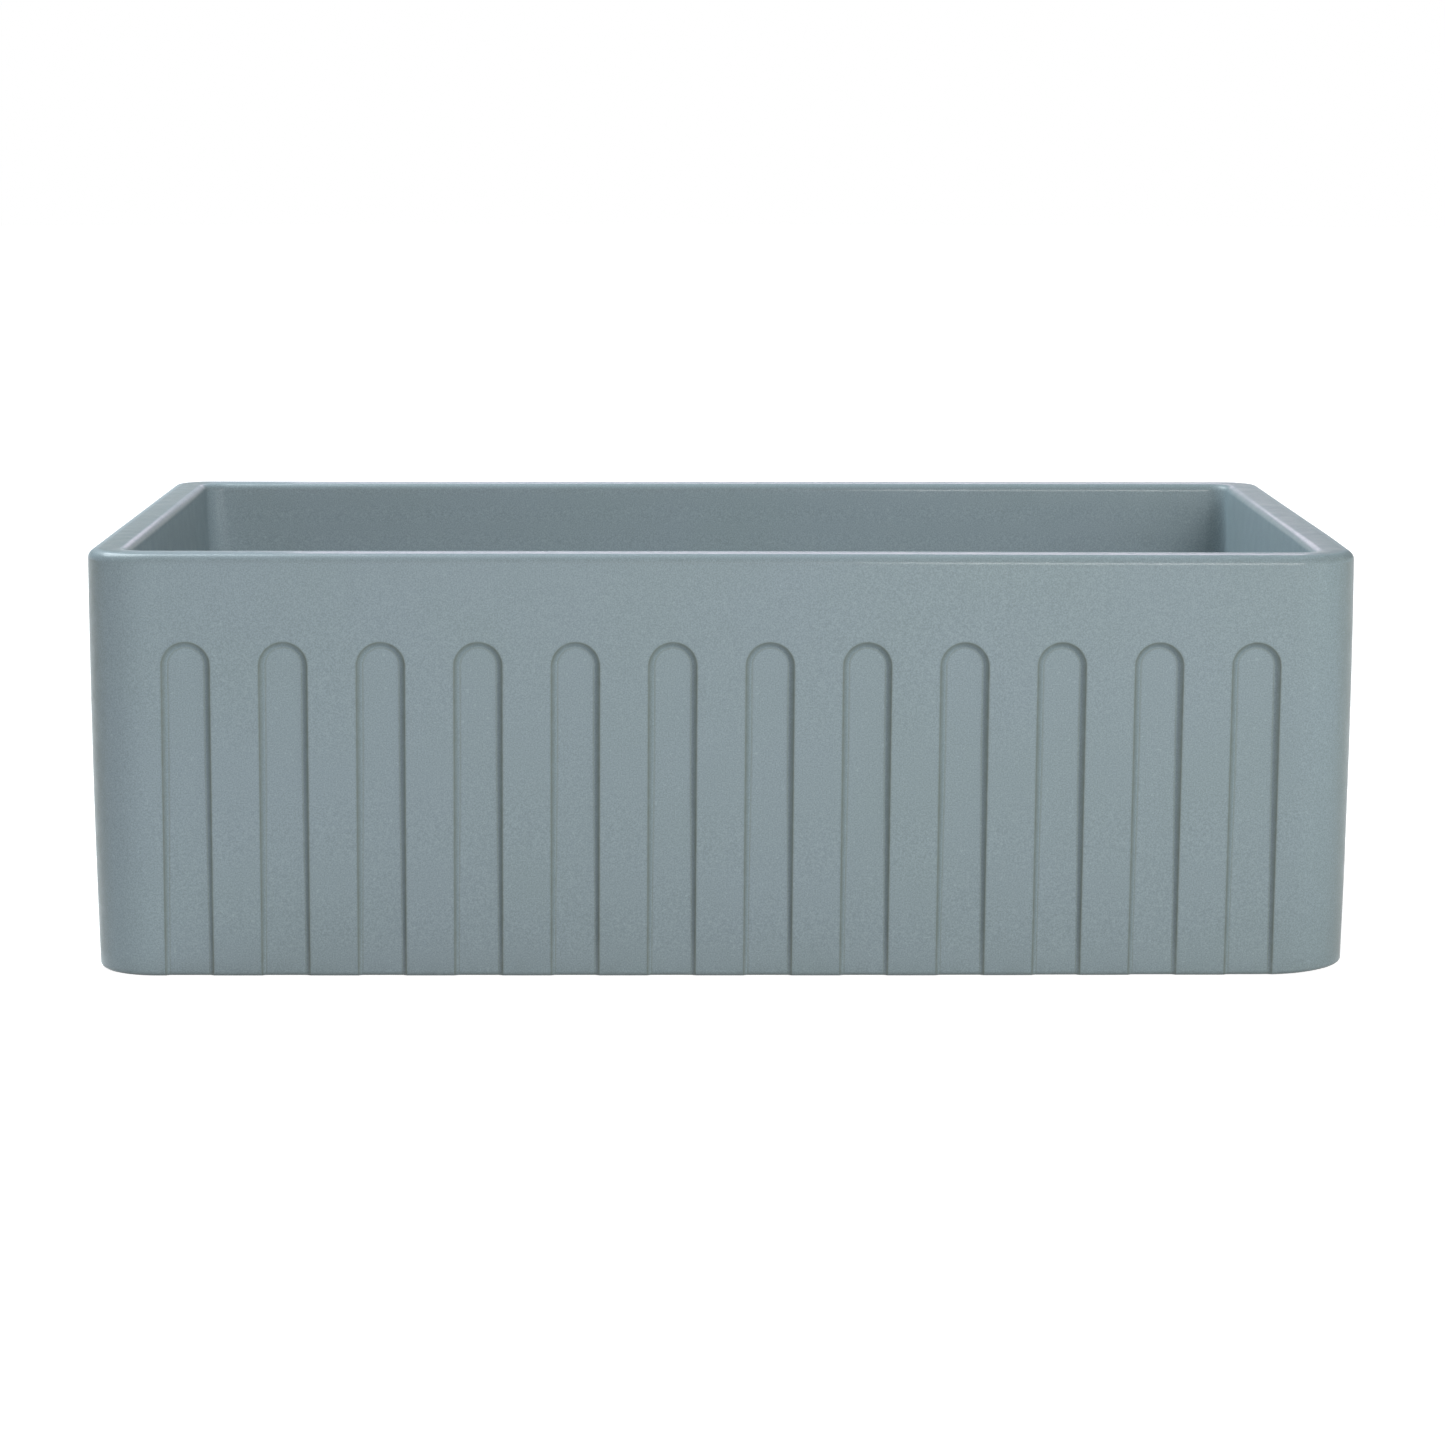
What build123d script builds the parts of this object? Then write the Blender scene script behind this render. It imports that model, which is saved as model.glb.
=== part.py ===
from build123d import *

import os
from math import atan, cos, degrees, radians, sin, tan

# Farmhouse apron front sink: a glazed fireclay basin with a fluted apron, and its basket strainer.
# Millimetres, +Z up, +X to the right and the apron facing -Y. The origin is on the drain's axis, in
# the plane of the underside's bearing band.

os.makedirs("parts", exist_ok=True)

# ---- basin, outside -----------------------------------------------------------------------------
sink_width = 757.0  # left to right at the rim
sink_depth = 457.0  # front to back at the rim
sink_height = 254.0
outer_lean = 0.47  # degrees that every outer face leans out towards the rim
front_corner = 38.0  # upright corners beside the apron
rear_corner = 25.0
foot_edge = 2.0  # bevel round the underside
rim_width = 24.0  # wall thickness at the rim
rim_outer_edge = 4.5
rim_inner_edge = 5.0

# ---- bowl ---------------------------------------------------------------------------------------
floor_thickness = 25.0  # where the floor meets the walls
floor_fall = 3.0  # from the walls to the drain
wall_lean = 2.4  # degrees that the bowl's walls lean in towards the floor
bowl_corner = 26.0  # upright corners of the bowl
floor_round = 25.0  # sweep from wall to floor

# ---- fluted apron -------------------------------------------------------------------------------
flute_count = 12
flute_margin = 62.25  # from the apron's end to the first flute's centre line, at the rim
flute_width = 28.6
flute_depth = 3.4
flute_slope = 2.9  # width of a flute's sloping wall, seen from the front
flute_drop = 52.3  # plain apron between the rim and the flutes' round tops
flute_lip = 1.2  # rounding of the flutes' outer edge

# ---- underside ----------------------------------------------------------------------------------
bearing_band = 45.0  # flat band that the cabinet's rails carry
relief_depth = 2.0  # the middle of the underside stands this much higher
relief_corner = 30.0

# ---- drain hole in the basin --------------------------------------------------------------------
recess_ledge = 14.0  # ledge that carries the strainer's flange
recess_depth = 4.5
recess_edge = 1.0  # depth of the bevel round the recess

# ---- strainer body ------------------------------------------------------------------------------
putty_thickness = 1.0
putty_width = 9.0
flange_gap = 1.5  # between the flange's rim and the recess
flange_thickness = 2.0
flange_edge = 0.8  # thickness of the flange at its rim
flange_slope = 9.5  # width of the slope from the flange's crown to the basket's seat
slope_fall = 1.8  # height of that slope
cup_bore = 39.0  # inside radius of the cup
cup_wall = 3.5  # up to the crests of the body's thread
neck_step = 1.5  # how far the neck stands out over the thread
neck_depth = 4.0
neck_gap = 0.5  # between the neck and the drain hole
neck_wall = 1.3  # round the basket's seat
basket_seat_drop = 3.1  # from the flange's top to the basket's seat
cup_depth = 37.7  # from the basket's seat to the stopper's seat
cup_floor_wall = 2.7
cup_corner = 3.0
stopper_seat_width = 6.0  # ring that the seal lies on
outlet_bore = 19.5
outlet_funnel = 5.7  # height of the funnel from the stopper's seat to the outlet bore
spud_wall = 4.4
spud_length = 10.5  # below the funnel

# ---- what clamps the strainer -------------------------------------------------------------------
gasket_thickness = 3.0
gasket_width = 11.0
friction_ring_thickness = 1.0
lock_nut_height = 12.0
lock_nut_wall = 5.0
lock_nut_flange = 3.0
lock_nut_flange_width = 10.5
lock_nut_lugs = 8
lock_nut_lug_width = 7.0
thread_gap = 0.15  # between a nut and the thread it is on

# ---- outlet's coupling nut ----------------------------------------------------------------------
coupling_nut_height = 13.0
coupling_nut_wall = 1.95  # round the thread, in the middle of a flat
coupling_nut_lip = 2.0
coupling_nut_chamfer = 1.2
tailpiece_washer_thickness = 1.5
tailpiece_gap = 0.4  # how much wider than the outlet bore the washer and the nut's lip are

# ---- basket -------------------------------------------------------------------------------------
seat_gap = 0.3  # between pieces that rest on each other and lift apart
basket_rim_gap = 0.4  # between the basket's rim and the step round its seat
basket_wall_gap = 0.8  # between the basket and the cup, at the top
basket_taper = 6.7  # how much narrower the basket's foot is, on radius
sheet = 1.0  # thickness of the basket's steel
basket_foot_edge = 3.0  # slope between the basket's floor and wall
slot_count = 12
slot_width = 3.4
slot_length = 10.0
hole_radius = 2.4
hole_sides = 8  # the small round holes are cut as octagons
hole_rings = (6, 9, 12)  # number of holes in each ring, from the hub outwards

# ---- stopper and its rod ------------------------------------------------------------------------
stopper_travel = 8.0
travel_spare = 0.4  # left between the plate and the basket when the stopper is up
rod_radius = 3.0
rod_gap = 0.05  # running clearance in the hub
rod_shoulder = 0.5  # step down to the thread at each end
screw_gap = 0.02
plate_thickness = 1.4
seal_clearance = 5.0  # between the seal and the cup
seal_overhang = 4.0  # how far the seal stands out past the plate
seal_thickness = 4.0
seal_lip = 1.6  # thickness of the seal at its edge
washer_radius = 9.0
washer_thickness = 1.0
nut_height = 3.4
nut_wall = 1.48  # round the thread, in the middle of a flat
rod_tip = 1.2  # thread that shows below the nut
hub_wall = 1.25  # round the spring ring's groove
hub_height = 8.2  # above the basket's floor
hub_flange_width = 2.5
hub_flange = 1.2
hub_spigot_wall = 1.55  # of the part that sits in the basket's floor
detent_groove = 0.5  # depth of the rod's two grooves
detent_height = 1.4
detent_ring_width = 1.55
detent_ring_gap = 0.15
detent_split = 50.0  # degrees left open in the spring ring
detent_place = 4.4  # centre of the ring above the basket's floor
knob_gap = 1.5  # between the hub and the knob when the stopper is down
knob_height = 12.0
knob_wall = 2.48  # of the waist, round the thread
knob_grip = 4.0  # how far the knob stands out over its waist
knob_cap = 4.0  # height of the knob's round cap
knob_edge = 1.2  # height of the upright edge under the cap

# ---- levels and places that follow --------------------------------------------------------------
outer_taper = tan(radians(outer_lean))
foot_inset = sink_height * outer_taper
foot_width = sink_width - 2 * foot_inset
foot_depth = sink_depth - 2 * foot_inset

mouth_width = sink_width - 2 * rim_width
mouth_depth = sink_depth - 2 * rim_width
wall_inset = (sink_height - floor_thickness) * tan(radians(wall_lean))
floor_at_drain = floor_thickness - floor_fall
recess_floor = floor_at_drain - recess_depth

flute_pitch = (sink_width - 2 * flute_margin) / (flute_count - 1)
flute_arch = sink_height - flute_drop - flute_width / 2  # centre of a flute's round top

thread_radius = cup_bore + cup_wall
neck_radius = thread_radius + neck_step
drain_hole = neck_radius + neck_gap
recess_radius = drain_hole + recess_ledge
flange_underside = recess_floor + putty_thickness
flange_top = flange_underside + flange_thickness
flange_radius = recess_radius - flange_gap
basket_seat = flange_top - basket_seat_drop
basket_seat_radius = neck_radius - neck_wall
neck_foot = flange_underside - neck_depth
seal_radius = cup_bore - seal_clearance
stopper_seat_radius = seal_radius - stopper_seat_width
spud_radius = outlet_bore + spud_wall
stopper_seat = basket_seat - cup_depth
cup_foot = stopper_seat - cup_floor_wall
funnel_foot = stopper_seat - outlet_funnel
spud_end = funnel_foot - spud_length

gasket_foot = relief_depth - gasket_thickness
friction_ring_foot = gasket_foot - friction_ring_thickness
lock_nut_foot = friction_ring_foot - lock_nut_height

washer_foot = spud_end - tailpiece_washer_thickness
coupling_nut_foot = washer_foot - coupling_nut_lip
tailpiece_clear = outlet_bore + tailpiece_gap
coupling_nut_flats = 2 * (spud_radius + thread_gap + coupling_nut_wall)

plate_radius = seal_radius - seal_overhang
seal_foot = stopper_seat + seat_gap
plate_foot = seal_foot + seal_thickness
plate_top = plate_foot + plate_thickness
basket_foot = plate_top + stopper_travel + travel_spare
basket_floor = basket_foot + sheet
basket_rim_foot = basket_seat + seat_gap
basket_rim_top = basket_rim_foot + sheet
basket_rim_radius = basket_seat_radius - basket_rim_gap
basket_top_radius = cup_bore - basket_wall_gap
basket_foot_radius = basket_top_radius - basket_taper

hub_top = basket_floor + hub_height
hub_bore = rod_radius + rod_gap
hub_spigot = hub_bore + hub_spigot_wall
detent_ring_radius = hub_bore + detent_ring_width
groove_radius = detent_ring_radius + detent_ring_gap
hub_radius = groove_radius + hub_wall
hub_flange_radius = hub_radius + hub_flange_width
hole_ring_step = (basket_foot_radius - basket_foot_edge - hub_flange_radius) / len(hole_rings)
detent_level = basket_floor + detent_place
rod_thread_radius = rod_radius - rod_shoulder
screw_bore = rod_thread_radius + screw_gap
nut_flats = 2 * (screw_bore + nut_wall)
knob_waist = screw_bore + knob_wall
knob_radius = knob_waist + knob_grip
knob_foot = hub_top + knob_gap
knob_top = knob_foot + knob_height
rod_top = knob_top - knob_cap
nut_top = seal_foot - washer_thickness
nut_foot = nut_top - nut_height
rod_foot = nut_foot - rod_tip

# ---- basin: the hollow of the bowl, then the body round it ----------------------------------------
rim_down = Plane(origin=(0, 0, sink_height), x_dir=(-1, 0, 0), z_dir=(0, 0, -1))


def is_upright(edge):
    return edge.bounding_box().size.Z > sink_height / 2


with BuildPart() as bowl_hollow:
    with BuildSketch(rim_down):
        Rectangle(mouth_width, mouth_depth)
    extrude(amount=sink_height - floor_at_drain)
    draft(bowl_hollow.faces().filter_by(Axis.Z, reverse=True), rim_down, wall_lean)
    # four slopes that fall from the walls to the drain, with creases running to the corners
    for side, half in ((Plane.XZ, mouth_width / 2), (Plane.YZ, mouth_depth / 2)):
        with BuildSketch(side):
            with BuildLine():
                Polyline(
                    (0, floor_at_drain),
                    (half - wall_inset, floor_thickness),
                    (half, floor_thickness),
                    (half, sink_height),
                    (-half, sink_height),
                    (-half, floor_thickness),
                    (wall_inset - half, floor_thickness),
                    close=True,
                )
            make_face()
        extrude(amount=mouth_width, both=True, mode=Mode.INTERSECT)
    fillet(bowl_hollow.edges().filter_by(is_upright), radius=bowl_corner)
    floor_edges = bowl_hollow.edges().filter_by_position(
        Axis.Z, floor_thickness - 0.1, floor_thickness + 0.1
    )
    fillet(floor_edges, radius=floor_round)

# the flutes are sunk square to the leaning apron and run out at the bottom
lean = radians(outer_lean)
apron = Plane(origin=(0, -foot_depth / 2, 0), x_dir=(-1, 0, 0), z_dir=(0, cos(lean), sin(lean)))
with BuildPart() as flute_hollow:
    with BuildSketch(apron):
        Rectangle(flute_width, flute_arch, align=(Align.CENTER, Align.MIN))
        Rectangle(flute_width, flute_width, align=(Align.CENTER, Align.MAX))
        with Locations((0, flute_arch)):
            Circle(flute_width / 2)
    extrude(amount=flute_depth)
    flute_walls = flute_hollow.faces().filter_by(
        lambda face: abs(face.normal_at().dot(apron.z_dir)) < 0.5
    )
    draft(flute_walls, apron, degrees(atan(flute_slope / flute_depth)))

with BuildPart() as basin:
    with BuildSketch(rim_down):
        Rectangle(sink_width, sink_depth)
    extrude(amount=sink_height)
    draft(basin.faces().filter_by(Axis.Z, reverse=True), rim_down, outer_lean)
    front_edges, rear_edges = basin.edges().filter_by(is_upright).group_by(Axis.Y)
    fillet(front_edges, radius=front_corner)
    fillet(rear_edges, radius=rear_corner)
    chamfer(basin.edges().group_by(Axis.Z)[0], length=foot_edge)

    with GridLocations(flute_pitch, 1, flute_count, 1):
        add(flute_hollow.part, mode=Mode.SUBTRACT)
    first_flute = (flute_count - 1) / 2 * flute_pitch
    lips = basin.edges().filter_by(
        lambda edge: abs(apron.to_local_coords(edge.center()).Z) < 0.01
        and abs(edge.center().X) < first_flute + flute_width
        and foot_edge + 1 < edge.center().Z < sink_height - flute_drop + 1
    )
    fillet(lips, radius=flute_lip)

    add(bowl_hollow.part, mode=Mode.SUBTRACT)
    rim = basin.faces().sort_by(Axis.Z)[-1]
    fillet(rim.outer_wire().edges(), radius=rim_outer_edge)
    rim = basin.faces().sort_by(Axis.Z)[-1]
    fillet(rim.inner_wires()[0].edges(), radius=rim_inner_edge)

    # the underside's relief, and the drain's recess and hole
    with BuildSketch(Plane.XY):
        RectangleRounded(
            foot_width - 2 * bearing_band, foot_depth - 2 * bearing_band, relief_corner
        )
    extrude(amount=relief_depth, mode=Mode.SUBTRACT)
    with BuildSketch(Plane.XZ):
        with BuildLine():
            bevel_foot = floor_at_drain - recess_edge
            Polyline(
                (0, 0),
                (drain_hole, 0),
                (drain_hole, recess_floor),
                (recess_radius, recess_floor),
                (recess_radius, bevel_foot),
                (recess_radius + floor_thickness - bevel_foot, floor_thickness),
                (0, floor_thickness),
                close=True,
            )
        make_face()
    revolve(axis=Axis.Z, mode=Mode.SUBTRACT)
basin.part.label = "basin"
export_step(basin.part, "parts/basin.step")

# ---- strainer body and the bead that beds it ----------------------------------------------------
with BuildPart() as flange_putty:
    with BuildSketch(Plane.XY.offset(recess_floor)):
        Circle(flange_radius - flange_gap)
        Circle(flange_radius - flange_gap - putty_width, mode=Mode.SUBTRACT)
    extrude(amount=putty_thickness)
flange_putty.part.label = "flange_putty"
export_step(flange_putty.part, "parts/flange_putty.step")

with BuildPart() as strainer_body:
    with BuildSketch(Plane.XZ):
        with BuildLine():
            crown = flange_radius - flange_thickness
            slope_head = basket_seat_radius + flange_slope
            Polyline(
                (outlet_bore, spud_end),
                (spud_radius, spud_end),
                (spud_radius, funnel_foot),
                (stopper_seat_radius + cup_floor_wall, cup_foot),
                (thread_radius - cup_corner, cup_foot),
                (thread_radius, cup_foot + cup_corner),
                (thread_radius, neck_foot),
                (neck_radius, neck_foot),
                (neck_radius, flange_underside),
                (flange_radius, flange_underside),
                (flange_radius, flange_underside + flange_edge),
                (crown, flange_top),
                (slope_head, flange_top),
                (basket_seat_radius, flange_top - slope_fall),
                (basket_seat_radius, basket_seat),
                (cup_bore, basket_seat),
                (cup_bore, stopper_seat + cup_corner),
                (cup_bore - cup_corner, stopper_seat),
                (stopper_seat_radius, stopper_seat),
                (outlet_bore, funnel_foot),
                close=True,
            )
        make_face()
    revolve(axis=Axis.Z)
strainer_body.part.label = "strainer_body"
export_step(strainer_body.part, "parts/strainer_body.step")

# ---- clamping rings under the basin -------------------------------------------------------------
with BuildPart() as rubber_gasket:
    with BuildSketch(Plane.XY.offset(gasket_foot)):
        Circle(thread_radius + thread_gap + gasket_width)
        Circle(thread_radius + thread_gap, mode=Mode.SUBTRACT)
    extrude(amount=gasket_thickness)
    chamfer(rubber_gasket.edges().group_by(Axis.Z)[0], length=gasket_thickness / 5)
rubber_gasket.part.label = "rubber_gasket"
export_step(rubber_gasket.part, "parts/rubber_gasket.step")

with BuildPart() as friction_ring:
    with BuildSketch(Plane.XY.offset(friction_ring_foot)):
        Circle(thread_radius + thread_gap + gasket_width)
        Circle(thread_radius + thread_gap, mode=Mode.SUBTRACT)
    extrude(amount=friction_ring_thickness)
friction_ring.part.label = "friction_ring"
export_step(friction_ring.part, "parts/friction_ring.step")

with BuildPart() as lock_nut:
    nut_bore = thread_radius + thread_gap
    with BuildSketch(Plane.XY.offset(lock_nut_foot)):
        Circle(nut_bore + lock_nut_wall)
        with PolarLocations(nut_bore + lock_nut_flange_width / 2, lock_nut_lugs):
            Rectangle(lock_nut_flange_width, lock_nut_lug_width)
        Circle(nut_bore, mode=Mode.SUBTRACT)
    extrude(amount=lock_nut_height)
    with BuildSketch(Plane.XY.offset(friction_ring_foot)):
        Circle(nut_bore + lock_nut_flange_width)
        Circle(nut_bore, mode=Mode.SUBTRACT)
    extrude(amount=-lock_nut_flange)
lock_nut.part.label = "lock_nut"
export_step(lock_nut.part, "parts/lock_nut.step")

# ---- coupling nut and washer that hold the waste pipe -------------------------------------------
with BuildPart() as tailpiece_washer:
    with BuildSketch(Plane.XY.offset(washer_foot)):
        Circle(spud_radius)
        Circle(tailpiece_clear, mode=Mode.SUBTRACT)
    extrude(amount=tailpiece_washer_thickness)
tailpiece_washer.part.label = "tailpiece_washer"
export_step(tailpiece_washer.part, "parts/tailpiece_washer.step")

with BuildPart() as coupling_nut:
    with BuildSketch(Plane.XY.offset(coupling_nut_foot)):
        RegularPolygon(coupling_nut_flats / 2, 6, major_radius=False)
        Circle(tailpiece_clear, mode=Mode.SUBTRACT)
    extrude(amount=coupling_nut_height)
    with BuildSketch(Plane.XY.offset(washer_foot)):
        Circle(spud_radius + thread_gap)
    extrude(amount=coupling_nut_height, mode=Mode.SUBTRACT)
    with BuildSketch(Plane.XZ):
        with BuildLine():
            Polyline(
                (coupling_nut_flats / 2, coupling_nut_foot),
                (coupling_nut_flats, coupling_nut_foot),
                (coupling_nut_flats, coupling_nut_foot + coupling_nut_chamfer),
                close=True,
            )
        make_face()
    revolve(axis=Axis.Z, mode=Mode.SUBTRACT)
coupling_nut.part.label = "coupling_nut"
export_step(coupling_nut.part, "parts/coupling_nut.step")

# ---- basket: a pressed, perforated cup with a hub for the stopper's rod -------------------------
with BuildPart() as basket:
    with BuildSketch(Plane.XZ):
        with BuildLine():
            Polyline(
                (hub_spigot, basket_foot),
                (basket_foot_radius, basket_foot),
                (basket_top_radius, basket_rim_foot),
                (basket_rim_radius, basket_rim_foot),
                (basket_rim_radius, basket_rim_top),
                (basket_top_radius - sheet, basket_rim_top),
                (basket_foot_radius - sheet, basket_floor),
                (hub_spigot, basket_floor),
                close=True,
            )
        profile = make_face()
        outer = profile.vertices().sort_by_distance((basket_foot_radius, 0, basket_foot))[0]
        inner = profile.vertices().sort_by_distance((basket_foot_radius, 0, basket_floor))[0]
        chamfer(outer, length=basket_foot_edge)
        chamfer(inner, length=basket_foot_edge - sheet / 2)
    revolve(axis=Axis.Z)
    for ring, hole_count in enumerate(hole_rings):
        with BuildSketch(Plane.XY.offset(basket_foot)):
            with PolarLocations(hub_flange_radius + (ring + 0.5) * hole_ring_step, hole_count):
                RegularPolygon(hole_radius, hole_sides)
        extrude(amount=sheet, mode=Mode.SUBTRACT)
    slot_level = (basket_floor + basket_foot_edge + basket_rim_foot) / 2
    for turn in range(slot_count // 2):
        angle = 360 / slot_count * (turn + 0.5)
        across = Plane(
            origin=(0, 0, slot_level),
            x_dir=(-sin(radians(angle)), cos(radians(angle)), 0),
            z_dir=(cos(radians(angle)), sin(radians(angle)), 0),
        )
        with BuildSketch(across):
            Rectangle(slot_width, slot_length)
        extrude(amount=cup_bore, both=True, mode=Mode.SUBTRACT)
basket.part.label = "basket"
export_step(basket.part, "parts/basket.step")

with BuildPart() as basket_hub:
    with BuildSketch(Plane.XZ):
        with BuildLine():
            ring_low = detent_level - detent_height / 2
            ring_high = detent_level + detent_height / 2
            Polyline(
                (hub_bore, basket_foot),
                (hub_spigot, basket_foot),
                (hub_spigot, basket_floor),
                (hub_flange_radius, basket_floor),
                (hub_flange_radius, basket_floor + hub_flange),
                (hub_radius, basket_floor + hub_flange),
                (hub_radius, hub_top - hub_flange / 2),
                (hub_radius - hub_flange / 2, hub_top),
                (hub_bore, hub_top),
                (hub_bore, ring_high + detent_ring_gap),
                (groove_radius, ring_high + detent_ring_gap),
                (groove_radius, ring_low - detent_ring_gap),
                (hub_bore, ring_low - detent_ring_gap),
                close=True,
            )
        make_face()
    revolve(axis=Axis.Z)
basket_hub.part.label = "basket_hub"
export_step(basket_hub.part, "parts/basket_hub.step")

with BuildPart() as detent_ring:
    with BuildSketch(Plane.XZ):
        with Locations(((hub_bore + detent_ring_radius) / 2, detent_level)):
            Rectangle(detent_ring_radius - hub_bore, detent_height)
    revolve(axis=Axis.Z, revolution_arc=360 - detent_split)
detent_ring.part.label = "detent_ring"
export_step(detent_ring.part, "parts/detent_ring.step")

# ---- stopper: rod, knob, plate, seal and what clamps them ---------------------------------------
with BuildPart() as stopper_rod:
    with BuildSketch(Plane.XZ):
        with BuildLine():
            high = detent_level
            low = detent_level - stopper_travel
            half = detent_height / 2
            floor_of_groove = rod_radius - detent_groove
            Polyline(
                (0, rod_foot),
                (rod_thread_radius, rod_foot),
                (rod_thread_radius, plate_top),
                (rod_radius, plate_top),
                (rod_radius, low - half),
                (floor_of_groove, low - half + detent_groove),
                (floor_of_groove, low + half - detent_groove),
                (rod_radius, low + half),
                (rod_radius, high - half),
                (floor_of_groove, high - half + detent_groove),
                (floor_of_groove, high + half - detent_groove),
                (rod_radius, high + half),
                (rod_radius, knob_foot),
                (rod_thread_radius, knob_foot),
                (rod_thread_radius, rod_top),
                (0, rod_top),
                close=True,
            )
        make_face()
    revolve(axis=Axis.Z)
stopper_rod.part.label = "stopper_rod"
export_step(stopper_rod.part, "parts/stopper_rod.step")

with BuildPart() as lift_knob:
    with BuildSketch(Plane.XZ):
        with BuildLine():
            cap_foot = knob_top - knob_cap
            waist_top = cap_foot - knob_edge
            Polyline(
                (0, knob_top),
                (0, rod_top + screw_gap),
                (screw_bore, rod_top + screw_gap),
                (screw_bore, knob_foot),
                (knob_waist, knob_foot),
                (knob_waist, (knob_foot + waist_top) / 2),
                (knob_radius, waist_top),
                (knob_radius, cap_foot),
                (knob_radius - knob_cap / 2, knob_top - knob_cap / 4),
                (knob_waist, knob_top),
                close=True,
            )
        make_face()
    revolve(axis=Axis.Z)
lift_knob.part.label = "lift_knob"
export_step(lift_knob.part, "parts/lift_knob.step")

with BuildPart() as stopper_plate:
    with BuildSketch(Plane.XZ):
        with BuildLine():
            Polyline(
                (screw_bore, plate_foot),
                (plate_radius, plate_foot),
                (plate_radius, plate_foot + plate_thickness / 2),
                (plate_radius - plate_thickness, plate_top),
                (screw_bore, plate_top),
                close=True,
            )
        make_face()
    revolve(axis=Axis.Z)
stopper_plate.part.label = "stopper_plate"
export_step(stopper_plate.part, "parts/stopper_plate.step")

with BuildPart() as stopper_seal:
    with BuildSketch(Plane.XZ):
        with BuildLine():
            Polyline(
                (screw_bore, seal_foot),
                (seal_radius - seal_lip, seal_foot),
                (seal_radius, seal_foot + seal_lip / 2),
                (seal_radius, seal_foot + seal_lip),
                (plate_radius, plate_foot),
                (screw_bore, plate_foot),
                close=True,
            )
        make_face()
    revolve(axis=Axis.Z)
stopper_seal.part.label = "stopper_seal"
export_step(stopper_seal.part, "parts/stopper_seal.step")

with BuildPart() as seal_washer:
    with BuildSketch(Plane.XY.offset(nut_top)):
        Circle(washer_radius)
        Circle(screw_bore, mode=Mode.SUBTRACT)
    extrude(amount=washer_thickness)
seal_washer.part.label = "seal_washer"
export_step(seal_washer.part, "parts/seal_washer.step")

with BuildPart() as retaining_nut:
    with BuildSketch(Plane.XY.offset(nut_foot)):
        RegularPolygon(nut_flats / 2, 6, major_radius=False)
        Circle(screw_bore, mode=Mode.SUBTRACT)
    extrude(amount=nut_height)
retaining_nut.part.label = "retaining_nut"
export_step(retaining_nut.part, "parts/retaining_nut.step")
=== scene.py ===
from math import atan2, cos, exp, pi, radians, sin, tan

import bmesh
import bpy
from bpy.props import FloatProperty, FloatVectorProperty, IntProperty, PointerProperty
from mathutils import Matrix, Vector, noise


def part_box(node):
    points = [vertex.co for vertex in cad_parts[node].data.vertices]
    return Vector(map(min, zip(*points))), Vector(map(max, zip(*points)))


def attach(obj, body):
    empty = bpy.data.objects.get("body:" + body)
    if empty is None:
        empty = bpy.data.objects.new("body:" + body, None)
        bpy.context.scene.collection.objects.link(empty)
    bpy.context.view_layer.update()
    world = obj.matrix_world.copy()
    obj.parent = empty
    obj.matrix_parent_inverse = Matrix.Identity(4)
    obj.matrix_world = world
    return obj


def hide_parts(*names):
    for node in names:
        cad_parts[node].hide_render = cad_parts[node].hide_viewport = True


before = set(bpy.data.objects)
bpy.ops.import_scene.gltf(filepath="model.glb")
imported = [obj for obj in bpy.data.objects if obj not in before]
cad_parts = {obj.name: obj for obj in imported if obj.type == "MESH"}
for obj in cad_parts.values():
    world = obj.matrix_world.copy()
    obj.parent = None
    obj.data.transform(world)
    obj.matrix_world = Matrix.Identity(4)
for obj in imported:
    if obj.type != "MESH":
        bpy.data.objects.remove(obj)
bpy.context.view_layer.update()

bl_info = {
    "name": "Fluted Apron Sink",
    "version": (1, 0, 0),
    "blender": (4, 5, 0),
    "location": "View3D > Sidebar > Sink",
    "description": "Builds a fluted apron front sink and its basket strainer around the packed parts",
    "category": "Object",
}

MM = 0.001
BASIN_LOW, BASIN_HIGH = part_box("basin")


# ---- settings -----------------------------------------------------------------------------------
def length(name, description, default):
    return FloatProperty(
        name=name, description=description, default=default, min=0.0, subtype="DISTANCE", unit="LENGTH"
    )


def colour(name, description, default):
    return FloatVectorProperty(
        name=name, description=description, default=default, min=0.0, max=1.0, size=3, subtype="COLOR"
    )


class SinkBasinSettings(bpy.types.PropertyGroup):
    """Sizes of the basin"""

    width: length("Width", "Left to right at the rim", BASIN_HIGH[0] - BASIN_LOW[0])
    depth: length("Depth", "Front to back at the rim", BASIN_HIGH[1] - BASIN_LOW[1])
    height: length("Height", "From the underside to the rim", BASIN_HIGH[2])
    foot_inset: length("Foot inset", "How far the foot stands in from the rim", 1.9 * MM)
    belly: length("Belly", "How strongly the faces swell below the rim", 1.55 * MM)
    rim_width: length("Rim width", "Thickness of the wall at the rim", 24.0 * MM)
    flute_count: IntProperty(name="Flutes", description="Number of flutes", default=12, min=1)
    flute_pitch: length("Flute pitch", "Distance between flutes", 57.5 * MM)
    flute_width: length("Flute width", "Width of a flute at the apron's face", 28.6 * MM)
    flute_depth: length("Flute depth", "Depth of a flute", 3.4 * MM)


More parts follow.
